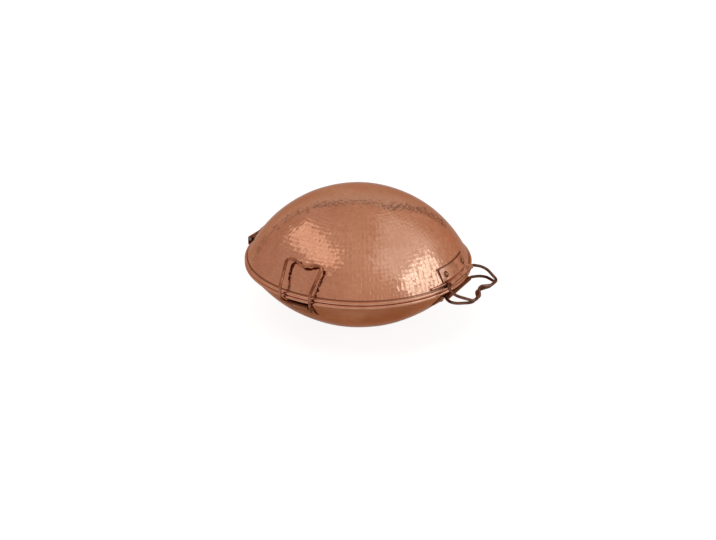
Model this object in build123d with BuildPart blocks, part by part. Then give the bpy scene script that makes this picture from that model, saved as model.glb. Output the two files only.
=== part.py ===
"""Cataplana: a clamshell pot of two hammered copper bowls, hinged at the back.

Millimetres and degrees.  +Z is up, and the origin is the centre of the flat that the
pot stands on.  The front, with its two wire handles, faces -Y, the hinge is at +Y,
and a wire clamp stands on either side.
"""
import os
from math import asin, atan2, cos, degrees, hypot, radians, sin, sqrt

from build123d import *

# --- pot --------------------------------------------------------------------
rim_radius = 150.0            # outside of the rolled rims
base_height = 75.0            # resting face to the seam between the rims
lid_height = 96.0             # seam to the crown
foot_radius = 50.0            # flat underneath the base
wall = 1.1                    # copper sheet of both bowls
bead_diameter = 4.6           # each rolled rim, outside
seam_gap = 0.3                # between the two closed rims

# --- riveted plates, shared -------------------------------------------------
plate_thickness = 1.2
plate_corner = 3.0            # rounding of the free corners
knuckle_wall = 1.0            # sheet rolled round a wire
wire_clearance = 0.05         # radial, wire in its knuckle
seat_gap = 0.1                # knuckle to the bowl behind it

# --- front handles ----------------------------------------------------------
handle_wire = 3.8
handle_plate_width = 70.0
handle_knuckle_width = 66.0   # the rolled edge stops short of the plate's corners
lid_handle_height = 8.0       # pivot above the seam
base_handle_drop = 9.5        # pivot below the seam
lid_plate_top = 24.0          # above the seam
base_plate_bottom = 27.0      # below the seam
handle_pivot_half = 38.0      # half the straight pivot of each loop
handle_widest_half = 50.0     # the legs swell to this, half width
handle_widest_reach = 13.0    # measured out from the pivot
handle_corner_half = 36.5
handle_reach = 34.5           # pivot to the crossbar's shoulders
handle_shoulder_half = 19.0
handle_dip = 10.3             # the crossbar's middle turns back by this
handle_pivot_bend = 4.5       # bend radii, from the pivot round to the crossbar's middle
handle_leg_bend = 14.0
handle_corner_bend = 9.0
handle_shoulder_bend = 12.0
handle_dip_bend = 14.0
base_handle_tilt = 3.0        # degrees above level
handle_bar_gap = 0.3          # between the two crossbars, one resting on the other
handle_bar_rise = 45.0        # the lid's bar lies this far round the base's, in degrees
tail_wire = 3.2               # rolled tail beside the lid plate
tail_angle = 10.5             # degrees of the rim that it follows
tail_lap = 4.8                # length of it inside the knuckle

# --- side clamps ------------------------------------------------------------
clamp_wire = 3.8
clamp_angle = 92.5            # from the front, to either side
clamp_plate_width = 37.0
clamp_knuckle_width = 31.0
clamp_drop = 10.5             # pivot below the seam
clamp_plate_bottom = 26.0     # below the seam
clamp_pivot_half = 18.0
clamp_leg_half = 22.0         # beside the rims
clamp_corner_half = 26.0
clamp_stand_off = 3.1         # leg's centre line outside the rims
clamp_bend_height = 11.0      # above the seam, where the legs lean in
clamp_lean = 37.0             # degrees from upright
clamp_length = 38.0           # bend to crossbar, along the leg
clamp_shoulder_half = 13.5
clamp_dip = 6.5
clamp_pivot_bend = 3.0        # bend radii, from the pivot round to the crossbar's middle
clamp_foot_bend = 5.0
clamp_leg_bend = 8.0
clamp_corner_bend = 5.0
clamp_shoulder_bend = 9.0
clamp_dip_bend = 11.0

# --- hinge ------------------------------------------------------------------
pin_diameter = 3.6
pin_offset = 4.5              # pin's axis outside the rim
pin_height = 3.5              # above the seam
hinge_width = 46.0
lid_barrel_width = 15.0       # the middle of three barrels
barrel_wall = 1.6
barrel_gap = 0.4              # between neighbouring barrels
pin_clearance = 0.06          # radial, pin in the lid's barrel
hinge_leaf_height = 24.0      # leaf's edge to the seam, both leaves
pin_head = 1.0                # length of each end cap
pin_head_diameter = 5.4

# --- rivets -----------------------------------------------------------------
rivet_shank = 3.4
rivet_head = 6.8
rivet_head_height = 2.2
rivet_tail = 6.0              # hammered end inside the bowl
rivet_tail_height = 0.9
tail_relief = 0.05            # tail to the curved wall
handle_rivet_inset = 11.0     # rivet's centre from the end of its plate
clamp_rivet_inset = 5.0
hinge_rivet_inset = 8.5
lid_rivet_height = 16.5       # above the seam
base_rivet_drop = 19.5        # below the seam

# --- places worked out from these -------------------------------------------
seam = base_height
bead_radius = bead_diameter / 2
rim_wire_radius = bead_radius - wall
bead_centre = rim_radius - bead_radius
lid_bead_z = seam + seam_gap / 2 + bead_radius
base_bead_z = seam - seam_gap / 2 - bead_radius
crown_z = seam + lid_height
lid_rise = crown_z - lid_bead_z
lid_ball = (bead_centre**2 + lid_rise**2) / (2 * lid_rise)          # dome's outer radius
lid_ball_z = crown_z - lid_ball
base_ball_z = (bead_centre**2 - foot_radius**2 + base_bead_z**2) / (2 * base_bead_z)
base_ball = hypot(foot_radius, base_ball_z)
hair = 1e-4                                                         # lengths closer than this are equal
drill_reach = 4 * (wall + plate_thickness)                          # either way, well through both sheets

UP = Vector(0, 0, 1)


class Bowl:
    """The outer surface of one half: a ball about the pot's axis, and which way is away from the seam."""

    def __init__(self, ball, ball_z, away):
        self.ball, self.ball_z, self.away = ball, ball_z, away

    def radius_at(self, z, offset=0.0):
        """Distance from the axis of the surface, or of one parallel to it, at height z."""
        return sqrt((self.ball + offset) ** 2 - (z - self.ball_z) ** 2)

    def slope_at(self, z):
        """Elevation in degrees, seen from the ball's centre, of the surface at height z."""
        return degrees(atan2(z - self.ball_z, self.radius_at(z)))


lid_bowl = Bowl(lid_ball, lid_ball_z, 1)
base_bowl = Bowl(base_ball, base_ball_z, -1)


def outward(angle):
    """Level direction out of the pot, at this angle from the front."""
    return Vector(sin(radians(angle)), -cos(radians(angle)), 0)


def side_plane(angle):
    """Upright plane through the pot's axis: local x points outward, y up and z sideways."""
    out = outward(angle)
    return Plane(origin=(0, 0, 0), x_dir=out, z_dir=out.cross(UP))


def place(angle, out, side, z):
    """Point at a distance from the axis, a distance sideways and a height."""
    direction = outward(angle)
    return direction * out + direction.cross(UP) * side + UP * z


def pivot_at(bowl, z, wire):
    """Distance from the axis of a wire whose rolled knuckle rests against the bowl at height z."""
    return bowl.radius_at(z, wire / 2 + wire_clearance + knuckle_wall + seat_gap)


def rivet_angles(bowl, angle, z, width, inset):
    """Angles of a pair of rivets, each set in from one end of a plate of this width."""
    half = degrees(asin((width / 2 - inset) / bowl.radius_at(z)))
    return [angle - half, angle + half]


def rivet_plane(bowl, angle, z):
    """Plane on the bowl's surface whose y is the surface's outward normal and x is level."""
    point = place(angle, bowl.radius_at(z), 0, z)
    normal = (point - UP * bowl.ball_z).normalized()
    level = outward(angle).cross(UP)
    return Plane(origin=point, x_dir=level, z_dir=level.cross(normal))


# Every pair of rivets: the bowl, the plate's angle, the height, the plate's width and the inset.
lid_rivet_z = seam + lid_rivet_height
base_rivet_z = seam - base_rivet_drop
rivet_pairs = {
    "front_lid_rivet": (lid_bowl, 0, lid_rivet_z, handle_plate_width, handle_rivet_inset),
    "hinge_lid_rivet": (lid_bowl, 180, lid_rivet_z, hinge_width, hinge_rivet_inset),
    "front_base_rivet": (base_bowl, 0, base_rivet_z, handle_plate_width, handle_rivet_inset),
    "hinge_base_rivet": (base_bowl, 180, base_rivet_z, hinge_width, hinge_rivet_inset),
    "left_clamp_rivet": (
        base_bowl, -clamp_angle, base_rivet_z, clamp_plate_width, clamp_rivet_inset),
    "right_clamp_rivet": (
        base_bowl, clamp_angle, base_rivet_z, clamp_plate_width, clamp_rivet_inset),
}


def rivet_planes(bowl, names):
    """Planes of all the rivets of the named pairs that pass through this bowl."""
    planes = []
    for name in names:
        pair_bowl, angle, z, width, inset = rivet_pairs[name]
        if pair_bowl is bowl:
            planes += [rivet_plane(bowl, a, z) for a in rivet_angles(bowl, angle, z, width, inset)]
    return planes


def drill(planes):
    """Cutter for rivet holes: one cylinder along each plane's y."""
    with BuildPart() as cutter:
        for plane in planes:
            with BuildSketch(Plane(origin=plane.origin, z_dir=plane.y_dir)):
                Circle(rivet_shank / 2)
            extrude(amount=drill_reach, both=True)
    return cutter.part


# --- bowls: beaten sheet, each edge rolled outward round a wire ---------------
with BuildPart() as base_shell:
    with BuildSketch(Plane.XZ):
        with Locations((0, base_ball_z)):
            Circle(base_ball)
            Circle(base_ball - wall, mode=Mode.SUBTRACT)
        with Locations((0, 0)):
            Rectangle(rim_radius, base_bead_z, align=Align.MIN, mode=Mode.INTERSECT)
            Rectangle(foot_radius, wall, align=Align.MIN)
        with Locations((bead_centre, base_bead_z)):
            Circle(bead_radius)
            Circle(rim_wire_radius, mode=Mode.SUBTRACT)
    revolve(axis=Axis.Z)
    add(drill(rivet_planes(base_bowl, rivet_pairs)), mode=Mode.SUBTRACT)
base_shell.part.label = "base_shell"

with BuildPart() as lid_shell:
    with BuildSketch(Plane.XZ):
        with Locations((0, lid_ball_z)):
            Circle(lid_ball)
            Circle(lid_ball - wall, mode=Mode.SUBTRACT)
        with Locations((0, lid_bead_z)):
            Rectangle(rim_radius, lid_rise, align=Align.MIN, mode=Mode.INTERSECT)
        with Locations((bead_centre, lid_bead_z)):
            Circle(bead_radius)
            Circle(rim_wire_radius, mode=Mode.SUBTRACT)
    revolve(axis=Axis.Z)
    add(drill(rivet_planes(lid_bowl, rivet_pairs)), mode=Mode.SUBTRACT)
lid_shell.part.label = "lid_shell"


def rim_wire(name, z):
    """Ring of wire that stiffens a rolled rim."""
    with BuildPart() as ring:
        with BuildSketch(Plane.XZ):
            with Locations((bead_centre, z)):
                Circle(rim_wire_radius)
        revolve(axis=Axis.Z)
    ring.part.label = name
    return ring.part


base_rim_wire = rim_wire("base_rim_wire", base_bead_z)
lid_rim_wire = rim_wire("lid_rim_wire", lid_bead_z)


# --- plates: sheet bent to the bowl, its edge rolled into a knuckle -----------
def bowl_sheet(bowl, angle, width, near, far):
    """Sheet lying on a bowl between two heights, with its two free corners rounded."""
    half = degrees(asin(width / 2 / bowl.radius_at(near)))
    start, end = bowl.slope_at(near), bowl.slope_at(far)
    with BuildPart() as sheet:
        with BuildSketch(side_plane(angle - half)):
            with BuildLine():
                inner = CenterArc((0, bowl.ball_z), bowl.ball, start, end - start)
                outer = CenterArc((0, bowl.ball_z), bowl.ball + plate_thickness, start, end - start)
                Line(inner @ 0, outer @ 0)
                Line(inner @ 1, outer @ 1)
            make_face()
        revolve(axis=Axis.Z, revolution_arc=2 * half)
        corners = sheet.edges().filter_by(lambda e: abs(e.length - plate_thickness) < hair)
        free = corners.sort_by(lambda e: abs(e.center().Z - far))[:2]
        fillet(free, plate_corner)
    return sheet.part


def clamped_plate(name, bowl, angle, width, knuckle_width, pivot_z, far, wire, rivets):
    """Riveted plate whose edge beside the rim is rolled round a wire."""
    bore = wire / 2 + wire_clearance
    roll = bore + knuckle_wall
    pivot = pivot_at(bowl, pivot_z, wire)
    web_z = pivot_z + bowl.away * (roll - plate_thickness / 2)
    web_sink = 2 * roll    # the web starts inside the bowl's surface, and the bowl is cut from it
    web_root = sqrt(pivot**2 - (knuckle_width / 2) ** 2) - web_sink
    with BuildPart() as plate:
        add(bowl_sheet(bowl, angle, width, pivot_z, far))
        with BuildSketch(side_plane(angle)):
            with Locations((pivot, pivot_z)):
                Circle(roll)
            with Locations(((web_root + pivot) / 2, web_z)):
                Rectangle(pivot - web_root, plate_thickness)
        extrude(amount=knuckle_width / 2, both=True)
        with Locations((0, 0, bowl.ball_z)):
            Sphere(bowl.ball, mode=Mode.SUBTRACT)
        with BuildSketch(side_plane(angle)):
            with Locations((pivot, pivot_z)):
                Circle(bore)
        extrude(amount=width, both=True, mode=Mode.SUBTRACT)
        add(drill(rivet_planes(bowl, [rivets])), mode=Mode.SUBTRACT)
    plate.part.label = name
    return plate.part


lid_pivot_z = seam + lid_handle_height
base_pivot_z = seam - base_handle_drop
clamp_pivot_z = seam - clamp_drop

front_base_plate = clamped_plate(
    "front_base_plate", base_bowl, 0, handle_plate_width, handle_knuckle_width, base_pivot_z,
    seam - base_plate_bottom, handle_wire, "front_base_rivet")
left_clamp_plate = clamped_plate(
    "left_clamp_plate", base_bowl, -clamp_angle, clamp_plate_width, clamp_knuckle_width,
    clamp_pivot_z, seam - clamp_plate_bottom, clamp_wire, "left_clamp_rivet")
right_clamp_plate = clamped_plate(
    "right_clamp_plate", base_bowl, clamp_angle, clamp_plate_width, clamp_knuckle_width,
    clamp_pivot_z, seam - clamp_plate_bottom, clamp_wire, "right_clamp_rivet")

# The lid's plate has a rolled tail that hugs the dome beside one end of its knuckle.
tail_centre = lid_bowl.radius_at(lid_pivot_z, tail_wire / 2 + seat_gap)
lid_plate_half = degrees(asin(handle_plate_width / 2 / lid_bowl.radius_at(lid_pivot_z)))
tail_start = lid_plate_half - degrees(tail_lap / tail_centre)
with BuildPart() as front_lid_plate:
    add(clamped_plate(
        "front_lid_plate", lid_bowl, 0, handle_plate_width, handle_knuckle_width, lid_pivot_z,
        seam + lid_plate_top, handle_wire, "front_lid_rivet"))
    with BuildSketch(side_plane(-tail_start - tail_angle)):
        with Locations((tail_centre, lid_pivot_z)):
            Circle(tail_wire / 2)
    revolve(axis=Axis.Z, revolution_arc=tail_angle)
    with Locations(place(-tail_start - tail_angle, tail_centre, 0, lid_pivot_z)):
        Sphere(tail_wire / 2)
front_lid_plate.part.label = "front_lid_plate"


# --- handles and clamps: closed loops of wire ---------------------------------
def wire_loop(name, angle, pivot, pivot_z, half, wire):
    """Loop of wire, mirrored from (sideways, out, up, bend radius) rows about its pivot."""
    other_half = [(-side, out, up, bend) for side, out, up, bend in reversed(half) if side]
    corners = half + other_half
    points = [place(angle, pivot + out, side, pivot_z + up) for side, out, up, _ in corners]
    with BuildPart() as loop:
        with BuildLine() as path:
            FilletPolyline(points, radius=[bend for _, _, _, bend in corners], close=True)
        with BuildSketch(Plane(origin=path.line @ 0, z_dir=path.line % 0)):
            Circle(wire / 2)
        sweep()
    loop.part.label = name
    return loop.part


def handle(name, pivot, pivot_z, reach, tilt):
    """Front handle: swelling legs, rounded shoulders and a crossbar that dips in the middle."""
    level, rise = cos(radians(tilt)), sin(radians(tilt))
    outline = [
        (handle_pivot_half, 0, handle_pivot_bend),
        (handle_widest_half, handle_widest_reach, handle_leg_bend),
        (handle_corner_half, reach, handle_corner_bend),
        (handle_shoulder_half, reach, handle_shoulder_bend),
        (0, reach - handle_dip, handle_dip_bend),
    ]
    half = [(side, out * level, out * rise, bend) for side, out, bend in outline]
    return wire_loop(name, 0, pivot, pivot_z, half, handle_wire)


base_pivot = pivot_at(base_bowl, base_pivot_z, handle_wire)
lid_pivot = pivot_at(lid_bowl, lid_pivot_z, handle_wire)
base_handle = handle("base_handle", base_pivot, base_pivot_z, handle_reach, base_handle_tilt)

# The lid's handle lies on the base's, its crossbar above and outside the other one.
bar_step = handle_wire + handle_bar_gap
lid_bar_out = (base_pivot + handle_reach * cos(radians(base_handle_tilt))
               + bar_step * cos(radians(handle_bar_rise)) - lid_pivot)
lid_bar_up = (base_pivot_z + handle_reach * sin(radians(base_handle_tilt))
              + bar_step * sin(radians(handle_bar_rise)) - lid_pivot_z)
lid_handle = handle("lid_handle", lid_pivot, lid_pivot_z, hypot(lid_bar_out, lid_bar_up),
                    degrees(atan2(lid_bar_up, lid_bar_out)))


def clamp_bail(name, angle):
    """Side clamp: legs that step out past both rims, then lean in over the lid."""
    pivot = pivot_at(base_bowl, clamp_pivot_z, clamp_wire)
    leg_out = rim_radius + clamp_stand_off - pivot
    bend_up = clamp_drop + clamp_bend_height
    lean_out, lean_up = -sin(radians(clamp_lean)), cos(radians(clamp_lean))

    def leaning(side, along, bend):
        return (side, leg_out + along * lean_out, bend_up + along * lean_up, bend)

    half = [
        (clamp_pivot_half, 0, 0, clamp_pivot_bend),
        (clamp_leg_half, leg_out, leg_out, clamp_foot_bend),
        (clamp_leg_half, leg_out, bend_up, clamp_leg_bend),
        leaning(clamp_corner_half, clamp_length, clamp_corner_bend),
        leaning(clamp_shoulder_half, clamp_length, clamp_shoulder_bend),
        leaning(0, clamp_length - clamp_dip, clamp_dip_bend),
    ]
    return wire_loop(name, angle, pivot, clamp_pivot_z, half, clamp_wire)


left_clamp_bail = clamp_bail("left_clamp_bail", -clamp_angle)
right_clamp_bail = clamp_bail("right_clamp_bail", clamp_angle)

# --- hinge: two leaves and a pin ----------------------------------------------
pin_radius = pin_diameter / 2
barrel_radius = pin_radius + barrel_wall
pin_out = rim_radius + pin_offset
pin_z = seam + pin_height
lid_shelf_top = pin_z + barrel_radius
base_shelf_top = base_bead_z - bead_radius - seat_gap
notch = barrel_radius + barrel_gap
side_barrel = (hinge_width - lid_barrel_width) / 2 - barrel_gap
side_barrel_centre = (lid_barrel_width + side_barrel) / 2 + barrel_gap
notch_height = 4 * notch      # clears the leaf above and below the barrels
shelf_sink = 2 * bead_diameter    # the shelves start inside the bowls' surfaces
shelf_root = sqrt(bead_centre**2 - (hinge_width / 2) ** 2) - shelf_sink


def beside(side):
    """Upright plane at the hinge, moved sideways."""
    return side_plane(180).offset(side)


with BuildPart() as hinge_lid_leaf:
    add(bowl_sheet(lid_bowl, 180, hinge_width, lid_shelf_top - plate_thickness, seam + hinge_leaf_height))
    with BuildSketch(side_plane(180)):
        with Locations((pin_out, lid_shelf_top)):
            Rectangle(pin_out - shelf_root, plate_thickness, align=Align.MAX)
    extrude(amount=hinge_width / 2, both=True)
    with BuildSketch(side_plane(180)):
        with Locations((pin_out, pin_z)):
            Circle(barrel_radius)
    extrude(amount=lid_barrel_width / 2, both=True)
    for end in (-1, 1):
        with BuildSketch(beside(end * (side_barrel_centre - barrel_gap / 2))):
            with Locations((pin_out, pin_z)):
                Rectangle(2 * notch, notch_height)
        extrude(amount=side_barrel / 2 + barrel_gap / 2 + hair, both=True, mode=Mode.SUBTRACT)
    with Locations((0, 0, lid_ball_z)):
        Sphere(lid_ball, mode=Mode.SUBTRACT)
    with BuildSketch(side_plane(180)):
        with Locations((pin_out, pin_z)):
            Circle(pin_radius + pin_clearance)
    extrude(amount=hinge_width, both=True, mode=Mode.SUBTRACT)
    add(drill(rivet_planes(lid_bowl, ["hinge_lid_rivet"])), mode=Mode.SUBTRACT)
hinge_lid_leaf.part.label = "hinge_lid_leaf"

with BuildPart() as hinge_base_leaf:
    add(bowl_sheet(base_bowl, 180, hinge_width, base_shelf_top, seam - hinge_leaf_height))
    with BuildSketch(side_plane(180)):
        with Locations((pin_out + barrel_radius, base_shelf_top)):
            Rectangle(pin_out + barrel_radius - shelf_root, plate_thickness, align=Align.MAX)
    extrude(amount=hinge_width / 2, both=True)
    for end in (-1, 1):
        with BuildSketch(beside(end * side_barrel_centre)):
            with Locations((pin_out, pin_z)):
                Circle(barrel_radius)
            with Locations((pin_out + barrel_radius, pin_z)):
                Rectangle(plate_thickness, pin_z - base_shelf_top + plate_thickness, align=Align.MAX)
        extrude(amount=side_barrel / 2, both=True)
    with Locations((0, 0, base_ball_z)):
        Sphere(base_ball, mode=Mode.SUBTRACT)
    with BuildSketch(side_plane(180)):
        with Locations((pin_out, pin_z)):
            Circle(pin_radius)
    extrude(amount=hinge_width, both=True, mode=Mode.SUBTRACT)
    add(drill(rivet_planes(base_bowl, ["hinge_base_rivet"])), mode=Mode.SUBTRACT)
hinge_base_leaf.part.label = "hinge_base_leaf"

with BuildPart() as hinge_pin:
    with BuildSketch(side_plane(180)):
        with Locations((pin_out, pin_z)):
            Circle(pin_radius)
    extrude(amount=hinge_width / 2, both=True)
    for end in (-1, 1):
        with BuildSketch(beside(end * hinge_width / 2)):
            with Locations((pin_out, pin_z)):
                Circle(pin_head_diameter / 2)
        extrude(amount=end * pin_head)
hinge_pin.part.label = "hinge_pin"


# --- rivets: round heads outside, hammered flat inside ------------------------
def rivet(name, plane):
    """Rivet set in a plane: domed head on the plate, shank through it and the wall, flat tail."""
    crown = (0, plate_thickness + rivet_head_height)
    head_edge = (rivet_head / 2, plate_thickness)
    inside = -(wall + tail_relief)
    tail_end = inside - rivet_tail_height
    with BuildPart() as body:
        with BuildSketch(plane):
            with BuildLine():
                Polyline(
                    crown, (0, tail_end), (rivet_tail / 2, tail_end), (rivet_tail / 2, inside),
                    (rivet_shank / 2, inside), (rivet_shank / 2, plate_thickness), head_edge)
                TangentArc(crown, head_edge, tangent=(1, 0))
            make_face()
        revolve(axis=Axis(plane.origin, plane.y_dir))
    body.part.label = name
    return body.part


rivets = []
for pair, (bowl, angle, z, width, inset) in rivet_pairs.items():
    for hand, rivet_angle in zip(("a", "b"), rivet_angles(bowl, angle, z, width, inset)):
        rivets.append(rivet(f"{pair}_{hand}", rivet_plane(bowl, rivet_angle, z)))

pieces = [
    base_shell.part, lid_shell.part, base_rim_wire, lid_rim_wire,
    front_lid_plate.part, front_base_plate, left_clamp_plate, right_clamp_plate,
    hinge_lid_leaf.part, hinge_base_leaf.part, hinge_pin.part,
    lid_handle, base_handle, left_clamp_bail, right_clamp_bail,
] + rivets

os.makedirs("parts", exist_ok=True)
for piece in pieces:
    export_step(piece, f"parts/{piece.label}.step")
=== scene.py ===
from math import acos, asin, atan2, cos, hypot, pi, radians, sin, sqrt, tan
from random import Random

import bmesh
import bpy
from mathutils import Matrix, Vector, noise


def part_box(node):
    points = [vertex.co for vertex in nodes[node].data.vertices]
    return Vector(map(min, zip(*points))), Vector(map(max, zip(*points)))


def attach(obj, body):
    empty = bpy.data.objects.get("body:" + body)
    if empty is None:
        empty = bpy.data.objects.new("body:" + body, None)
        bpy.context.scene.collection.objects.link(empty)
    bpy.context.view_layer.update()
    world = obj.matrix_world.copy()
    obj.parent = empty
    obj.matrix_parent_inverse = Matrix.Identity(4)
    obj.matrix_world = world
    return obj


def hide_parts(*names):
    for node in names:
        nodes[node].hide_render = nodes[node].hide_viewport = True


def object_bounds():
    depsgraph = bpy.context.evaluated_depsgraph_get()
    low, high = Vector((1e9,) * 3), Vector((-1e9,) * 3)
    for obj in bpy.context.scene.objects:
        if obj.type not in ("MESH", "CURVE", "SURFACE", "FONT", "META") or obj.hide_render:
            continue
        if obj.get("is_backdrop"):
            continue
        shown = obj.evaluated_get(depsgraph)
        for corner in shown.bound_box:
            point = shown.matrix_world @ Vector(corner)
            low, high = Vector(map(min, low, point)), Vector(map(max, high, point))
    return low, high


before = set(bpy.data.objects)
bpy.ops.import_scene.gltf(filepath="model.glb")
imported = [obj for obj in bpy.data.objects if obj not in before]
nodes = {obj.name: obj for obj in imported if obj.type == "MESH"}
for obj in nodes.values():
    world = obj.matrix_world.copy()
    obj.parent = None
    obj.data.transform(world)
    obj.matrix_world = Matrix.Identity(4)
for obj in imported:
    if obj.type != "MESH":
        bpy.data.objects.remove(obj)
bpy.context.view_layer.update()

# ---------------------------------------------------------------------------
# The base bowl: a disc of copper sheet sunk and planished with a hammer, flat underneath.
# Its edge is rolled outward round a steel wire, and the inside is wiped with tin.
# ---------------------------------------------------------------------------
wall = 0.0011
bead_radius = 0.0023
foot_radius = 0.050
foot_round = 0.022              # radius of the turn between the flat and the side
edge_gap = 0.0002               # between the rolled edge and the side above it
groove_depth = 0.0009
groove_half_angle = 0.22        # of the bead, that the groove takes away
bowl_steps = 540                # round the axis
wedges = 12                     # a bowl is spun as one wedge, and the wedge copied round
weld_reach = 1e-6               # joins the wedges where they meet
side_steps = 118                # from the middle to the rim, outside
flat_steps = 12
round_steps = 4
inside_steps = 30
bead_steps = 14
tin_slot, rim_slot = 1, 2       # of a bowl's materials, after the beaten outside
uneven_height = 0.00028         # how far the beaten side strays from a true ball
uneven_scale = 22.0             # swells to the metre
calm_height = 0.012             # the side is true again this near the rim and the flat
blow_pitch = 0.0066             # between the hammer's blows, and between rings of them
blow_depth = 0.00011
blow_radius = 0.048             # of the hammer's face
blow_step = 12                  # a ring has a multiple of this many blows
round_stray, ring_stray = 0.17, 0.12    # how far blows land off round and out, in pitches
lightest_blow, heaviest_blow = 0.45, 1.35


def arc(centre_r, centre_h, radius, start, end, steps):
    """Points on a circle in the plane of the profile, from one angle to another."""
    angles = [start + (end - start) * i / steps for i in range(steps + 1)]
    return [(centre_r + radius * cos(angle), centre_h + radius * sin(angle)) for angle in angles]


def bowl_profile(ball, ball_h, top_h, bead_r, flat_radius):
    """Outline of one bowl lying rim down: middle outside, side, groove, bead, inside, middle."""
    bead_angle = atan2(bead_radius - ball_h, bead_r)
    side_end = bead_angle + 2 * asin((bead_radius + edge_gap) / (2 * ball))
    bead_start = bead_angle + pi / 2
    groove_radius = bead_radius - groove_depth
    groove = [(bead_r + groove_radius * cos(bead_start),
               bead_radius + groove_radius * sin(bead_start))]
    inner_turn = atan2(wall, sqrt(bead_radius**2 - wall**2))
    bead = arc(bead_r, bead_radius, bead_radius, bead_start - groove_half_angle,
               bead_start + inner_turn - 2 * pi, bead_steps)
    first_inner = atan2(bead[-1][1] - ball_h, bead[-1][0])
    if flat_radius:
        flat_angle = acos(flat_radius / ball)
        turn = pi / 2 - flat_angle
        tangent = foot_round * tan(turn / 2)
        flat = [(flat_radius * i / flat_steps, top_h) for i in range(flat_steps)]
        rounding = arc(flat_radius - tangent, top_h - foot_round, foot_round, pi / 2,
                       pi / 2 - turn, round_steps)
        side = arc(0, ball_h, ball, flat_angle - tangent / ball, side_end, side_steps)
        outside = flat + rounding + side[1:]
        last_inner = asin((top_h - wall - ball_h) / (ball - wall))
        inside = arc(0, ball_h, ball - wall, first_inner, last_inner, inside_steps)[1:]
        inside.append((0, top_h - wall))
    else:
        outside = arc(0, ball_h, ball, pi / 2, side_end, side_steps)
        inside = arc(0, ball_h, ball - wall, first_inner, pi / 2, inside_steps)[1:]
    return outside + groove + bead + inside


def blow_rings(ball, chance):
    """The hammer's blows from the crown out: for each ring, places round and out, and depths."""
    rings = []
    for ring in range(int(pi / 2 * ball / blow_pitch) + 2):
        pitches_round = 2 * pi * ball * sin(ring * blow_pitch / ball) / blow_pitch
        count = max(blow_step // 2, blow_step * round(pitches_round / blow_step))
        rings.append([(blow + chance.gauss(0, round_stray),
                       ring * blow_pitch + chance.gauss(0, ring_stray) * blow_pitch,
                       blow_depth * chance.uniform(lightest_blow, heaviest_blow))
                      for blow in range(count)])
    return rings


def beaten(offset, ball, rings):
    """How deep the hammer has gone at a place on the outside, given from the ball's middle."""
    out = hypot(offset.x, offset.y)
    reach = atan2(out, offset.z) * ball
    around = atan2(offset.y, offset.x) / (2 * pi)
    nearest = min(max(round(reach / blow_pitch), 1), len(rings) - 2)
    deepest = 0
    for ring in rings[nearest - 1:nearest + 2]:
        step = 2 * pi * out / len(ring)
        here = around * len(ring)
        for blow in range(round(here) - 1, round(here) + 2):
            stray, blow_reach, depth = ring[blow % len(ring)]
            sideways = (here - blow - stray + blow % len(ring)) * step
            away = sideways**2 + (reach - blow_reach)**2
            deepest = max(deepest, depth - away / (2 * blow_radius))
    return deepest


def bowl(name, ball, ball_h, top_h, bead_r, flat_radius, place, seed):
    """One bowl spun rim down at height 0, beaten a little uneven, and put in its place."""
    bm = bmesh.new()
    profile = bowl_profile(ball, ball_h, top_h, bead_r, flat_radius)
    points = [bm.verts.new((r, 0, h)) for r, h in profile]
    edges = [bm.edges.new(pair) for pair in zip(points, points[1:])]
    bmesh.ops.spin(bm, geom=points + edges, cent=(0, 0, 0), axis=(0, 0, 1),
                   angle=2 * pi / wedges, steps=bowl_steps // wedges)
    wedge = bm.verts[:] + bm.edges[:] + bm.faces[:]
    for turn in range(1, wedges):
        copied = bmesh.ops.duplicate(bm, geom=wedge)["geom"]
        corners = [part for part in copied if isinstance(part, bmesh.types.BMVert)]
        bmesh.ops.rotate(bm, verts=corners, cent=(0, 0, 0),
                         matrix=Matrix.Rotation(2 * pi * turn / wedges, 3, "Z"))
    bmesh.ops.remove_doubles(bm, verts=bm.verts, dist=weld_reach)
    bmesh.ops.recalc_face_normals(bm, faces=bm.faces)
    middle = Vector((0, 0, ball_h))
    lining_reach = ball - wall / 2
    rings = blow_rings(ball, Random(seed))
    for face in bm.faces:
        face.smooth = True
        centre = face.calc_center_median()
        inside = (centre - middle).length < lining_reach and centre.z < top_h - wall / 2
        if inside and hypot(centre.x, centre.y) < bead_r - wall:
            face.material_index = tin_slot
        elif centre.z < 2 * bead_radius:
            face.material_index = rim_slot
    for vertex in bm.verts:
        height = vertex.co.z
        calm = min(1, max(0, (height - 2 * bead_radius) / calm_height))
        if flat_radius:
            calm *= min(1, (top_h - height) / calm_height) if height < top_h - wall else 0
        offset = vertex.co - middle
        stray = noise.noise(vertex.co * uneven_scale) * uneven_height
        if offset.length > lining_reach:
            stray -= beaten(offset, ball, rings)
        vertex.co += offset.normalized() * stray * calm
    bm.transform(place)
    mesh = bpy.data.meshes.new(name)
    bm.to_mesh(mesh)
    bm.free()
    made = bpy.data.objects.new(name, mesh)
    bpy.context.collection.objects.link(made)
    return made


base_low, base_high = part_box("base_shell")
rim_radius = base_high.x
bead_middle = rim_radius - bead_radius
base_depth = base_high.z - base_low.z
base_reach = base_depth - bead_radius
base_ball_h = bead_radius - (bead_middle**2 - foot_radius**2 - base_reach**2) / (2 * base_reach)
base_ball = hypot(bead_middle, bead_radius - base_ball_h)
base_place = Matrix.Translation((0, 0, base_high.z)) @ Matrix.Rotation(pi, 4, "X")
base_bowl = bowl("base_bowl", base_ball, base_ball_h, base_depth, bead_middle, foot_radius,
                 base_place, seed=11)
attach(base_bowl, "base")
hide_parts("base_shell")


def feed(tree, socket, value):
    """Link an output to a socket, or set the socket to a plain value."""
    if isinstance(value, bpy.types.NodeSocket):
        tree.links.new(value, socket)
    elif socket.type == "RGBA":
        socket.default_value = (*value, 1)
    else:
        socket.default_value = value


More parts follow.
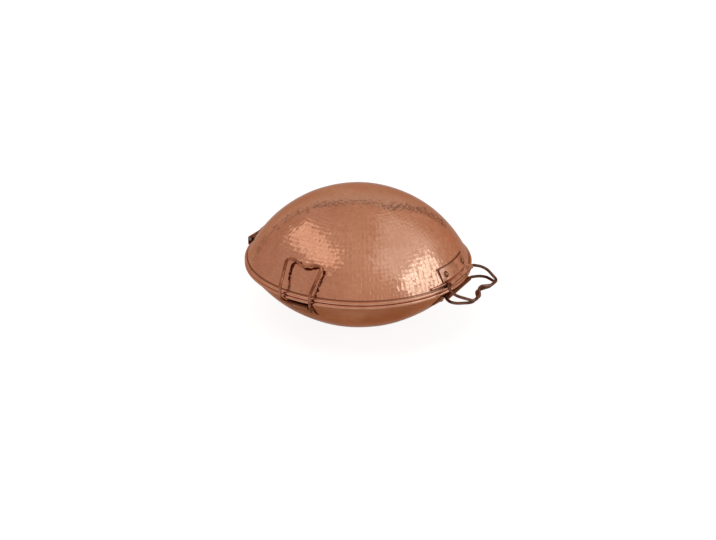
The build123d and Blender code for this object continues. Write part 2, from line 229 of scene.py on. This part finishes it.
def node(tree, kind, inputs, **settings):
    """A node with its settings made and its inputs fed, by name or by number; its outputs."""
    made = tree.nodes.new(kind)
    for setting, value in settings.items():
        setattr(made, setting, value)
    for name, value in inputs.items():
        feed(tree, made.inputs[name], value)
    return made.outputs


def calc(tree, operation, *values):
    """What a Math node makes of up to three values."""
    return node(tree, "ShaderNodeMath", dict(enumerate(values)), operation=operation)[0]


def vector_calc(tree, operation, *values):
    """The outputs of a Vector Math node on up to two vectors."""
    return node(tree, "ShaderNodeVectorMath", dict(enumerate(values)), operation=operation)


def dot(tree, first, second):
    """How far one vector reaches along another."""
    return vector_calc(tree, "DOT_PRODUCT", first, second)["Value"]


def fade(tree, value, full, none):
    """1 up to where the value is full, 0 from where it is none, and smooth between."""
    spread = {"Value": value, "From Min": full, "From Max": none, "To Min": 1.0, "To Max": 0.0}
    return node(tree, "ShaderNodeMapRange", spread, interpolation_type="SMOOTHSTEP")["Result"]


def mix(tree, share, first, second):
    """A colour between two others."""
    return node(tree, "ShaderNodeMix", {0: share, 6: first, 7: second}, data_type="RGBA")[2]


def group(name, inputs, outputs):
    """An empty shader node group with named sockets; its inside inputs and outputs too."""
    tree = bpy.data.node_groups.new(name, "ShaderNodeTree")
    kinds = {"value": "NodeSocketFloat", "vector": "NodeSocketVector",
             "colour": "NodeSocketColor"}
    for socket, kind in inputs.items():
        tree.interface.new_socket(socket, in_out="INPUT", socket_type=kinds[kind])
    for socket, kind in outputs.items():
        tree.interface.new_socket(socket, in_out="OUTPUT", socket_type=kinds[kind])
    given = tree.nodes.new("NodeGroupInput").outputs
    return tree, given, tree.nodes.new("NodeGroupOutput").inputs


def use(tree, shared, values):
    """The outputs of a shared group, put into a material with its own values."""
    return node(tree, "ShaderNodeGroup", values, node_tree=shared)


# Hammer marks: round hollows in rings about the crown, no two quite alike or quite level.
mark_pitch = 0.0053             # between neighbouring marks, and between rings
ring_step = 12                  # a ring has a multiple of this many marks
fewest_marks = 6
crown_calm = 0.35               # how deep the marks at the crown are, against those at the side
calm_angle = 0.5                # from the crown, where they are at their full depth
dish_radius = 0.055             # of each hollow
mark_tilt = 0.045               # of one hollow against the next, in radians
mark_stray = 0.55               # how far the hollows stray from even places
ring_sway = 2.0                 # how far the rings wander, in pitches
sway_scale = 14.0
mark_blend = 0.16               # softness of the ridges between them
middle_chance = (0.5, 0.5, 0.5) # of the random colour that each mark has
marks, given, gives = group(
    "hammer_marks", {"Ball": "value", "Middle": "value", "Up": "value", "Depth": "value"},
    {"Height": "value", "Chance": "value"})
place = node(marks, "ShaderNodeTexCoord", {})["Object"]
axes = node(marks, "ShaderNodeSeparateXYZ", {0: place})
level = calc(marks, "MULTIPLY", calc(marks, "SUBTRACT", axes["Z"], given["Middle"]), given["Up"])
away = vector_calc(marks, "LENGTH", vector_calc(marks, "MULTIPLY", place, (1, 1, 0))[0])["Value"]
ball_pitches = calc(marks, "DIVIDE", given["Ball"], mark_pitch)
from_crown = calc(marks, "ARCTAN2", away, level)
sway = node(marks, "ShaderNodeTexNoise", {"Vector": place, "Scale": sway_scale, "Detail": 1.0})[0]
swayed = calc(marks, "MULTIPLY", sway, ring_sway)
rings_out = calc(marks, "MULTIPLY_ADD", from_crown, ball_pitches, swayed)
ring_middle = calc(marks, "ADD", calc(marks, "FLOOR", rings_out), 0.5)
ring_angle = calc(marks, "DIVIDE", ring_middle, ball_pitches)
ring_radius = calc(marks, "MULTIPLY", calc(marks, "SINE", ring_angle), ball_pitches)
steps_round = calc(marks, "ROUND", calc(marks, "MULTIPLY", ring_radius, 2 * pi / ring_step))
even_marks = calc(marks, "MULTIPLY", steps_round, ring_step)
marks_round = calc(marks, "MAXIMUM", even_marks, fewest_marks)
towards_front = calc(marks, "MULTIPLY", axes["Y"], -1.0)
turns = calc(marks, "DIVIDE", calc(marks, "ARCTAN2", axes["X"], towards_front), 2 * pi)
mark_along = calc(marks, "MULTIPLY", marks_round, turns)
grid = node(marks, "ShaderNodeCombineXYZ", {"X": mark_along, "Y": rings_out})[0]
cell = node(marks, "ShaderNodeTexVoronoi",
            {"Vector": grid, "Scale": 1.0, "Smoothness": mark_blend, "Randomness": mark_stray},
            voronoi_dimensions="2D", feature="SMOOTH_F1")
from_mark = vector_calc(marks, "SUBTRACT", grid, cell["Position"])[0]
chance = vector_calc(marks, "SUBTRACT", cell["Color"], middle_chance)[0]
lean = calc(marks, "MULTIPLY", dot(marks, from_mark, chance), 2 * mark_tilt * mark_pitch)
hollow = calc(marks, "MULTIPLY", calc(marks, "MULTIPLY", cell["Distance"], cell["Distance"]),
              mark_pitch**2 / (2 * dish_radius))
calmed = {"Value": from_crown, "From Max": calm_angle, "To Min": crown_calm}
calm_share = node(marks, "ShaderNodeMapRange", calmed)["Result"]
depth = calc(marks, "MULTIPLY", calm_share, given["Depth"])
feed(marks, gives["Height"], calc(marks, "MULTIPLY", calc(marks, "ADD", hollow, lean), depth))
feed(marks, gives["Chance"], node(marks, "ShaderNodeSeparateColor", {0: cell["Color"]})[0])

# Tarnish: bright metal going brown in soft patches and fine specks.
patch_full, patch_none = 0.66, 0.36     # of the noise, where a patch is brown and bright
tarnish, given, gives = group(
    "tarnish", {"Bright": "colour", "Brown": "colour", "Patch Scale": "value",
                "Amount": "value", "Smooth": "value", "Rough": "value", "Speck Scale": "value"},
    {"Color": "colour", "Roughness": "value", "Height": "value"})
place = node(tarnish, "ShaderNodeTexCoord", {})["Object"]
patch_noise = {"Vector": place, "Scale": given["Patch Scale"], "Detail": 5.0, "Roughness": 0.62}
patches = node(tarnish, "ShaderNodeTexNoise", patch_noise)[0]
patch_share = fade(tarnish, patches, patch_full, patch_none)
speck_noise = {"Vector": place, "Scale": given["Speck Scale"], "Detail": 3.0, "Roughness": 0.65}
specks = node(tarnish, "ShaderNodeTexNoise", speck_noise)[0]
browned = calc(tarnish, "MULTIPLY", patch_share, given["Amount"])
browned = calc(tarnish, "MULTIPLY", browned, calc(tarnish, "ADD", specks, 0.5))
feed(tarnish, gives["Color"], mix(tarnish, browned, given["Bright"], given["Brown"]))
spread = {"Value": patch_share, "To Min": given["Smooth"], "To Max": given["Rough"]}
feed(tarnish, gives["Roughness"], node(tarnish, "ShaderNodeMapRange", spread)["Result"])
feed(tarnish, gives["Height"], specks)

# Painted shade along a plate: a dark line in the corner between it and the bowl that it lies on.
shade_reach = 0.0018
shade_solid = 0.0004
plate_share = 0.85              # how far the painted shade along a plate hides the copper
plate_shade, given, gives = group(
    "plate_shade", {"Outward": "vector", "Half Width": "value", "Edge": "value", "Up": "value",
                    "Rim": "value"}, {"Mask": "value"})
place = node(plate_shade, "ShaderNodeTexCoord", {})["Object"]
height = node(plate_shade, "ShaderNodeSeparateXYZ", {0: place})["Z"]
sideways = vector_calc(plate_shade, "CROSS_PRODUCT", given["Outward"], (0, 0, 1))[0]
aside = calc(plate_shade, "ABSOLUTE", dot(plate_shade, place, sideways))
past_end = calc(plate_shade, "SUBTRACT", aside, given["Half Width"])
above_edge = calc(plate_shade, "SUBTRACT", height, given["Edge"])
past_edge = calc(plate_shade, "MULTIPLY", above_edge, given["Up"])
past = calc(plate_shade, "MAXIMUM", past_end, past_edge)
this_side = calc(plate_shade, "GREATER_THAN", dot(plate_shade, place, given["Outward"]), 0.0)
from_rim = calc(plate_shade, "ABSOLUTE", calc(plate_shade, "SUBTRACT", height, given["Rim"]))
off_rim = fade(plate_shade, from_rim, 2 * bead_radius + shade_solid, 2 * bead_radius)
mask = calc(plate_shade, "MULTIPLY", fade(plate_shade, past, shade_solid, shade_reach), this_side)
feed(plate_shade, gives["Mask"], calc(plate_shade, "MULTIPLY", mask, off_rim))

# Painted shade in a line round the pot at one height, as in the groove behind a rolled edge.
groove_rise = 0.0005            # from the bead's edge to the middle of the line
groove_off = 2 * bead_radius + groove_rise
groove_solid, groove_reach = 0.0003, 0.0013
groove_share = 0.8              # how far the painted shade in a groove hides the copper
line_shade, given, gives = group(
    "line_shade", {"Height": "value", "Solid": "value", "Reach": "value"}, {"Mask": "value"})
place = node(line_shade, "ShaderNodeTexCoord", {})["Object"]
height = node(line_shade, "ShaderNodeSeparateXYZ", {0: place})["Z"]
past = calc(line_shade, "ABSOLUTE", calc(line_shade, "SUBTRACT", height, given["Height"]))
feed(line_shade, gives["Mask"], fade(line_shade, past, given["Solid"], given["Reach"]))

# The colour and roughness of all painted shade: along plates, in grooves, under knuckles, round
# rivets and on the clamps' backs.
shade_copper = (0.15, 0.04, 0.022)
shade_rough = 0.55
mark_tone = 0.22                # how much browner one hammer mark may be than another
coat_rough = 0.12               # of the faint clear coat that some pieces have
copper_edge = (0.78, 0.48, 0.36)    # of what it mirrors where it turns away
plain_edge = (1, 1, 1)


def metal(name, bright, brown, patch_scale, amount, smooth, rough, speck_scale, speck_depth,
          coat=0.0, edge=copper_edge, painted_shade=(), dimples=None):
    """A metal finish: tarnish, then the painted shade masks, over specks and perhaps hammer
    marks.
    """
    material = bpy.data.materials.new(name)
    material.use_nodes = True
    tree = material.node_tree
    shader = tree.nodes["Principled BSDF"]
    aged = use(tree, tarnish, {"Bright": bright, "Brown": brown, "Patch Scale": patch_scale,
                               "Amount": amount, "Smooth": smooth, "Rough": rough,
                               "Speck Scale": speck_scale})
    colour, roughness = aged["Color"], aged["Roughness"]
    height = calc(tree, "MULTIPLY", aged["Height"], speck_depth)
    if dimples:
        marked = use(tree, marks, dimples)
        height = calc(tree, "ADD", height, marked["Height"])
        colour = mix(tree, calc(tree, "MULTIPLY", marked["Chance"], mark_tone), colour, brown)
    # Painted shade: each mask darkens the colour towards the shade colour.
    for shared, values, strength in painted_shade:
        mask = calc(tree, "MULTIPLY", use(tree, shared, values)["Mask"], strength)
        colour = mix(tree, mask, colour, shade_copper)
        roughness = node(tree, "ShaderNodeMix", {0: mask, 2: roughness, 3: shade_rough})[0]
    bump = node(tree, "ShaderNodeBump", {"Strength": 1.0, "Distance": 1.0, "Height": height})[0]
    finish = {"Metallic": 1.0, "Coat Weight": coat, "Coat Roughness": coat_rough,
              "Specular Tint": edge, "Base Color": colour, "Roughness": roughness, "Normal": bump}
    for socket, value in finish.items():
        feed(tree, shader.inputs[socket], value)
    return material


lid_low, lid_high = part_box("lid_shell")     # the painted shade along the plates stops at either bowl's rim


def fitted(node_name, azimuth, half_width, up):
    """The painted shade values of a plate: which way it faces, its half width and its free edge.
    """
    low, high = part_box(node_name)
    azimuth = radians(azimuth)
    return {"Outward": (sin(azimuth), -cos(azimuth), 0), "Half Width": half_width,
            "Edge": high.z if up > 0 else low.z, "Up": up,
            "Rim": lid_low.z if up > 0 else base_high.z}


def bowl_shade(fittings, groove_height):
    """The painted shade on a bowl: along each plate on it, and in the groove behind its rolled
    edge.
    """
    in_groove = {"Height": groove_height, "Solid": groove_solid, "Reach": groove_reach}
    along_plates = [(plate_shade, values, plate_share) for values in fittings]
    return along_plates + [(line_shade, in_groove, groove_share)]


front_half, clamp_half, hinge_half = 0.035, 0.0185, 0.023   # half widths of the plates
clamp_azimuth = 92.5            # degrees round from the front
base_fittings = [fitted("front_base_plate", 0, front_half, -1),
                 fitted("hinge_base_leaf", 180, hinge_half, -1),
                 fitted("left_clamp_plate", -clamp_azimuth, clamp_half, -1),
                 fitted("right_clamp_plate", clamp_azimuth, clamp_half, -1)]
shaded_base_copper = (0.72, 0.34, 0.20)       # browner than the lid's copper: painted shade, for the shadowed floor that the base mirrors
shaded_base_brown = (0.54, 0.21, 0.115)
rim_bright = (0.80, 0.43, 0.30)
brown_copper = (0.56, 0.22, 0.12)
bright_tin = (0.66, 0.64, 0.60)
grey_tin = (0.40, 0.38, 0.35)
tin_finish = {"patch_scale": 40.0, "amount": 0.6, "smooth": 0.28, "rough": 0.45,
              "speck_scale": 300.0, "speck_depth": 0.00002, "edge": plain_edge}
base_marks = {"Ball": base_ball, "Middle": base_high.z - base_ball_h, "Up": -1, "Depth": 0.5}
# The base's browner colours and heavier browning are painted shade for the shadowed floor that it
# mirrors.
base_copper = metal("base_copper", shaded_base_copper, shaded_base_brown, patch_scale=16.0, amount=0.9,
                    smooth=0.10, rough=0.20, speck_scale=600.0, speck_depth=0.000004,
                    dimples=base_marks, painted_shade=bowl_shade(base_fittings, base_high.z - groove_off))
lining = metal("tin_lining", bright_tin, grey_tin, dimples=base_marks, **tin_finish)
rim_copper = metal("rim_copper", rim_bright, brown_copper, patch_scale=40.0, amount=0.4,
                   smooth=0.12, rough=0.24, speck_scale=600.0, speck_depth=0.000004)
for material in (base_copper, lining, rim_copper):
    base_bowl.data.materials.append(material)

# ---------------------------------------------------------------------------
# The lid bowl: the same beaten sheet as the base but deeper, and round right over the
# crown. Its rolled rim meets the base's rim to rim.
# ---------------------------------------------------------------------------
lid_depth = lid_high.z - lid_low.z
lid_rise = lid_depth - bead_radius
lid_ball = (bead_middle**2 + lid_rise**2) / (2 * lid_rise)
lid_place = Matrix.Translation((0, 0, lid_low.z))
lid_bowl = bowl("lid_bowl", lid_ball, lid_depth - lid_ball, lid_depth, bead_middle, 0,
                lid_place, seed=7)
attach(lid_bowl, "lid")
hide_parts("lid_shell")
bright_copper = (0.86, 0.48, 0.35)
lid_marks = {"Ball": lid_ball, "Middle": lid_high.z - lid_ball, "Up": 1, "Depth": 0.8}
lid_fittings = [fitted("front_lid_plate", 0, front_half, 1),
                fitted("hinge_lid_leaf", 180, hinge_half, 1)]
lid_copper = metal("lid_copper", bright_copper, brown_copper, patch_scale=13.0, amount=0.30,
                   smooth=0.06, rough=0.13, speck_scale=600.0, speck_depth=0.000003, coat=0.05,
                   dimples=lid_marks, painted_shade=bowl_shade(lid_fittings, lid_low.z + groove_off))
lid_lining = metal("lid_lining", bright_tin, grey_tin, dimples=lid_marks, **tin_finish)
for material in (lid_copper, lid_lining, rim_copper):
    lid_bowl.data.materials.append(material)

# ---------------------------------------------------------------------------
# Rim wires and hinge pin: rings of steel wire closed inside the rolled rims, and a
# straight pin of the same steel through the hinge's knuckles.
# ---------------------------------------------------------------------------
dull_steel, dark_steel = (0.27, 0.21, 0.17), (0.12, 0.08, 0.06)


def dress(name, material):
    """Give a piece of the frame this material and no other."""
    nodes[name].data.materials.clear()
    nodes[name].data.materials.append(material)


inner_steel = metal("inner_steel", dull_steel, dark_steel, patch_scale=60.0, amount=0.7,
                    smooth=0.3, rough=0.5, speck_scale=1500.0, speck_depth=0.00001,
                    edge=plain_edge)
for name in ("base_rim_wire", "lid_rim_wire", "hinge_pin"):
    dress(name, inner_steel)

# ---------------------------------------------------------------------------
# Plates and hinge leaves: strips of copper sheet bent to the bowls and held by two
# rivets each, with one edge rolled into a knuckle round its wire or pin.
# ---------------------------------------------------------------------------
head_radius = 0.0034            # of a rivet
head_share = 1.0                # how far the painted shade round a rivet hides the copper
# Painted shade in a ring round each rivet head.
ring_shade, given, gives = group("ring_shade", {"Centre": "vector", "Radius": "value"},
                                 {"Mask": "value"})
place = node(ring_shade, "ShaderNodeTexCoord", {})["Object"]
away = vector_calc(ring_shade, "DISTANCE", place, given["Centre"])["Value"]
past = calc(ring_shade, "SUBTRACT", away, given["Radius"])
feed(ring_shade, gives["Mask"], fade(ring_shade, past, shade_solid, shade_reach))
knuckle_solid, knuckle_reach = 0.0022, 0.0042
worn_plate, worn_plate_brown = (0.80, 0.43, 0.31), (0.36, 0.14, 0.08)
dull_plate, dull_plate_brown = (0.52, 0.25, 0.16), (0.24, 0.09, 0.05)
# Each with the start of its rivets' names, and the height of the painted shade along its knuckle.
plates = {"front_lid_plate": ("front_lid", 0.0795), "front_base_plate": ("front_base", 0.069),
          "left_clamp_plate": ("left_clamp", 0.068), "right_clamp_plate": ("right_clamp", 0.068),
          "hinge_lid_leaf": ("hinge_lid", 0.0785), "hinge_base_leaf": ("hinge_base", 0.0785)}
for name, (fitting, knuckle_height) in plates.items():
    worn = name == "front_lid_plate"
    bright, brown = (worn_plate, worn_plate_brown) if worn else (dull_plate, dull_plate_brown)
    # Painted shade along the knuckle, and round each rivet head.
    along_knuckle = {"Height": knuckle_height, "Solid": knuckle_solid, "Reach": knuckle_reach}
    painted_shade = [(line_shade, along_knuckle, plate_share)]
    for rivet in (fitting + "_rivet_a", fitting + "_rivet_b"):
        low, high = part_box(rivet)
        round_head = {"Centre": (low + high) / 2, "Radius": head_radius}
        painted_shade.append((ring_shade, round_head, head_share))
    plate_copper = metal(name + "_copper", bright, brown, patch_scale=60.0, amount=0.75,
                         smooth=0.16, rough=0.34, speck_scale=1400.0, speck_depth=0.00001,
                         coat=0.05, painted_shade=painted_shade)
    dress(name, plate_copper)

# ---------------------------------------------------------------------------
# Handles and clamps: closed loops of drawn copper wire, bent by hand. The handles have
# gone dark brown. The clamps are a lighter brown, with painted shade on the backs by the lid.
# ---------------------------------------------------------------------------
clamp_lean = radians(37)        # how far a clamp's back is turned down towards the lid
back_full, back_none = -0.3, 0.4        # of the way outward, where the painted shade is and ends
back_share = 0.9                # how far it hides the copper
# Painted shade on the side of each clamp wire that faces the lid.
back_shade, given, gives = group("back_shade", {"Outward": "vector"}, {"Mask": "value"})
faces = node(back_shade, "ShaderNodeTexCoord", {})["Normal"]
outward = dot(back_shade, faces, given["Outward"])
feed(back_shade, gives["Mask"], fade(back_shade, outward, back_full, back_none))
clamp_bright, clamp_brown = (0.60, 0.27, 0.17), (0.26, 0.08, 0.045)
handle_bright, handle_brown = (0.30, 0.155, 0.115), (0.08, 0.037, 0.028)
wire_finish = {"patch_scale": 70.0, "amount": 1.0, "speck_scale": 1800.0,
               "speck_depth": 0.000012, "coat": 0.05}
for side, name in ((-1, "left_clamp_bail"), (1, "right_clamp_bail")):
    away_from_lid = (side * cos(clamp_lean), 0, sin(clamp_lean))
    clamp_copper = metal(name + "_copper", clamp_bright, clamp_brown, smooth=0.10, rough=0.28,
                         painted_shade=[(back_shade, {"Outward": away_from_lid}, back_share)],
                         **wire_finish)
    dress(name, clamp_copper)
handle_copper = metal("handle_copper", handle_bright, handle_brown, smooth=0.16, rough=0.38,
                      **wire_finish)
for name in ("lid_handle", "base_handle"):
    dress(name, handle_copper)

# ---------------------------------------------------------------------------
# Rivets: short copper pins with round heads outside, their tails hammered flat inside.
# ---------------------------------------------------------------------------
rivet_bright, rivet_brown = (0.50, 0.23, 0.15), (0.14, 0.05, 0.03)
rivet_copper = metal("rivet_copper", rivet_bright, rivet_brown, patch_scale=260.0, amount=0.9,
                     smooth=0.2, rough=0.4, speck_scale=2500.0, speck_depth=0.000012,
                     coat=0.05)
for name in nodes:
    if "_rivet_" in name:
        dress(name, rivet_copper)

# ---------------------------------------------------------------------------
# Camera: above the rim by 24 degrees, looking past the left clamp with the handles
# to the right.
# ---------------------------------------------------------------------------
camera_azimuth = radians(-62)
camera_elevation = radians(24)
camera_roll = radians(0.9)
camera_distance = 1.8
rim_above_aim = 0.0162
right = Vector((cos(camera_azimuth), sin(camera_azimuth), 0))
ahead = Vector((-sin(camera_azimuth), cos(camera_azimuth), 0))
back = Vector((0, 0, sin(camera_elevation))) - ahead * cos(camera_elevation)
aim = Vector((0, 0, (base_high.z + lid_low.z) / 2)) - back.cross(right) * rim_above_aim
camera = bpy.data.objects.new("camera", bpy.data.cameras.new("camera"))
camera.data.lens = 68.33
camera.data.sensor_width = 36
turn = (-back).to_track_quat("-Z", "Y").to_matrix().to_4x4()
roll = Matrix.Rotation(camera_roll, 4, "Z")
camera.matrix_world = Matrix.Translation(aim + back * camera_distance) @ turn @ roll
bpy.context.collection.objects.link(camera)
bpy.context.scene.camera = camera

# ---------------------------------------------------------------------------
# Floor and lamp: a wide white table top, and one big soft lamp overhead for the
# shadow under the pot.
# ---------------------------------------------------------------------------
floor_bm = bmesh.new()
bmesh.ops.create_circle(floor_bm, cap_ends=True, segments=64, radius=9)
floor = bpy.data.objects.new("floor", bpy.data.meshes.new("floor"))
floor_bm.to_mesh(floor.data)
floor_bm.free()
bpy.context.collection.objects.link(floor)
floor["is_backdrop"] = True
floor_glow = 0.9                # makes up the white that the lamp alone doesn't reach
mirrored_floor = 0.45           # of the glow, that the copper mirrors beside the shadow
floor_grey = (0.2, 0.2, 0.2)
white_floor = bpy.data.materials.new("white_floor")
white_floor.use_nodes = True
tree = white_floor.node_tree
tree.nodes.clear()
ray = node(tree, "ShaderNodeLightPath", {})
mirrored = calc(tree, "ADD", ray["Is Glossy Ray"], ray["Is Transmission Ray"])
shown = calc(tree, "MULTIPLY_ADD", mirrored, mirrored_floor, ray["Is Camera Ray"])
seen = calc(tree, "MINIMUM", shown, 1.0)
matt = node(tree, "ShaderNodeBsdfDiffuse", {"Color": floor_grey})[0]
glow = node(tree, "ShaderNodeEmission",
            {"Color": (1, 1, 1), "Strength": calc(tree, "MULTIPLY", seen, floor_glow)})[0]
both = node(tree, "ShaderNodeAddShader", {0: matt, 1: glow})[0]
node(tree, "ShaderNodeOutputMaterial", {0: both})
floor.data.materials.append(white_floor)

lamp_left, lamp_near, lamp_height = 0.5, 0.3, 2.4
lamp = bpy.data.objects.new("overhead", bpy.data.lights.new("overhead", "AREA"))
lamp.data.shape = "DISK"
lamp.data.size = 1.8
lamp.data.energy = 22
lamp_place = right * -lamp_left - ahead * lamp_near + Vector((0, 0, lamp_height))
lamp_turn = (-lamp_place).to_track_quat("-Z", "Y").to_matrix().to_4x4()
lamp.matrix_world = Matrix.Translation(lamp_place) @ lamp_turn
lamp.visible_glossy = False
bpy.context.collection.objects.link(lamp)

# ---------------------------------------------------------------------------
# Surround: what the polished copper mirrors. A plain warm room with a bright window to
# the right, softer light to the left and above, and a grey screen behind the pot.
# ---------------------------------------------------------------------------
room_colour = (0.54, 0.39, 0.28)
dim_side = (0.42, 0.29, 0.21)
dim_full, dim_none = -0.8, 0.2          # of the way to the right, where the room is dim and not
screen_colour = (0.53, 0.49, 0.43)
screen_edge = (0.13, 0.11, 0.09)
white_share = 0.12              # of the white backdrop that the copper mirrors too
least_depth = 0.02              # keeps what is beside or behind from being divided by nothing
world = bpy.data.worlds.new("studio")
bpy.context.scene.world = world
world.use_nodes = True
tree = world.node_tree
tree.nodes.clear()
gaze = node(tree, "ShaderNodeTexCoord", {})["Generated"]


def facing(azimuth, elevation, tip=0.0):
    """A direction given in degrees round from straight ahead and up from level."""
    azimuth, elevation = radians(azimuth), radians(elevation + tip)
    level = ahead * cos(azimuth) + right * sin(azimuth)
    return level * cos(elevation) + Vector((0, 0, sin(elevation)))


bar_start, bar_full = 0.45, 0.85        # of the wave across a panel: a bar starts, and is dark


def panel(azimuth, elevation, roll, half_width, half_height, soft, bars=0):
    """The share of a soft-edged bright panel seen along the gaze, with bars across it if any."""
    middle, level = facing(azimuth, elevation), facing(azimuth + 90, 0)
    upright = facing(azimuth, elevation, 90)
    roll = radians(roll)
    depth = calc(tree, "MAXIMUM", dot(tree, gaze, middle), least_depth)
    rightward = level * cos(roll) + upright * sin(roll)
    upward = upright * cos(roll) - level * sin(roll)
    across = calc(tree, "DIVIDE", dot(tree, gaze, rightward), depth)
    up = calc(tree, "DIVIDE", dot(tree, gaze, upward), depth)
    share = calc(tree, "MULTIPLY",
                 fade(tree, calc(tree, "ABSOLUTE", across), half_width - soft, half_width + soft),
                 fade(tree, calc(tree, "ABSOLUTE", up), half_height - soft, half_height + soft))
    if bars:
        waves = 2 * pi * bars / (2 * half_width)
        wave = calc(tree, "COSINE", calc(tree, "MULTIPLY", across, waves))
        share = calc(tree, "MULTIPLY", share, fade(tree, wave, bar_start, bar_full))
    return share


daylight = (0.56, 0.86, 0.97)
lamplight = (1.0, 1.0, 0.88)
window = panel(azimuth=101, elevation=22, roll=0, half_width=0.46, half_height=0.34, soft=0.08,
               bars=4)
skylight = panel(azimuth=92, elevation=52, roll=0, half_width=0.60, half_height=0.42, soft=0.20)
strip = panel(azimuth=-85, elevation=55, roll=-26, half_width=0.62, half_height=0.17, soft=0.04)
lights = [(window, 1.55, daylight), (skylight, 0.40, daylight), (strip, 0.45, lamplight)]

# The screen is flat and one unit ahead, with an upright right edge, a level top and a
# left edge that slants.
screen_right, screen_top = 0.47, 1.08
left_slope, left_rise = 1.63, 1.48
left_stretch = 1.91             # turns the height up to the slanting edge into a distance
screen_corner = 0.3             # how far its corners are rounded
screen_soft = 0.02
edge_solid, edge_reach = 0.03, 0.08
depth = calc(tree, "MAXIMUM", dot(tree, gaze, ahead), least_depth)
screen_x = calc(tree, "DIVIDE", dot(tree, gaze, right), depth)
screen_y = calc(tree, "DIVIDE", dot(tree, gaze, (0, 0, 1)), depth)
from_right = calc(tree, "SUBTRACT", screen_right, screen_x)
left_height = calc(tree, "MULTIPLY_ADD", screen_x, left_slope, left_rise)
from_left = calc(tree, "DIVIDE", calc(tree, "SUBTRACT", left_height, screen_y), left_stretch)
from_top = calc(tree, "SUBTRACT", screen_top, screen_y)
from_sides = calc(tree, "SMOOTH_MIN", from_right, from_left, screen_corner)
inside = calc(tree, "SMOOTH_MIN", from_sides, from_top, screen_corner)
edge_share = fade(tree, calc(tree, "ABSOLUTE", inside), edge_solid, edge_reach)
room = mix(tree, fade(tree, dot(tree, gaze, right), dim_full, dim_none), room_colour, dim_side)
room = mix(tree, fade(tree, inside, 0.0, -screen_soft), room, screen_colour)
room = mix(tree, edge_share, room, screen_edge)
for share, strength, colour in lights:
    light = [strength * part for part in colour]
    glare = node(tree, "ShaderNodeVectorMath", {0: light, "Scale": share}, operation="SCALE")[0]
    room = vector_calc(tree, "ADD", room, glare)[0]
ray = node(tree, "ShaderNodeLightPath", {})
surround = node(tree, "ShaderNodeBackground", {"Color": room, "Strength": 1.0})[0]
white = node(tree, "ShaderNodeBackground", {"Color": (1, 1, 1), "Strength": 1.0})[0]
mirrored = calc(tree, "ADD", ray["Is Glossy Ray"], ray["Is Transmission Ray"])
mirrored_white = calc(tree, "MULTIPLY", mirrored, white_share)
seen = calc(tree, "MINIMUM", calc(tree, "ADD", ray["Is Camera Ray"], mirrored_white), 1.0)
mixed = node(tree, "ShaderNodeMixShader", {0: seen, 1: surround, 2: white})[0]
node(tree, "ShaderNodeOutputWorld", {"Surface": mixed})
bpy.context.scene.view_settings.view_transform = "Standard"

low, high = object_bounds()
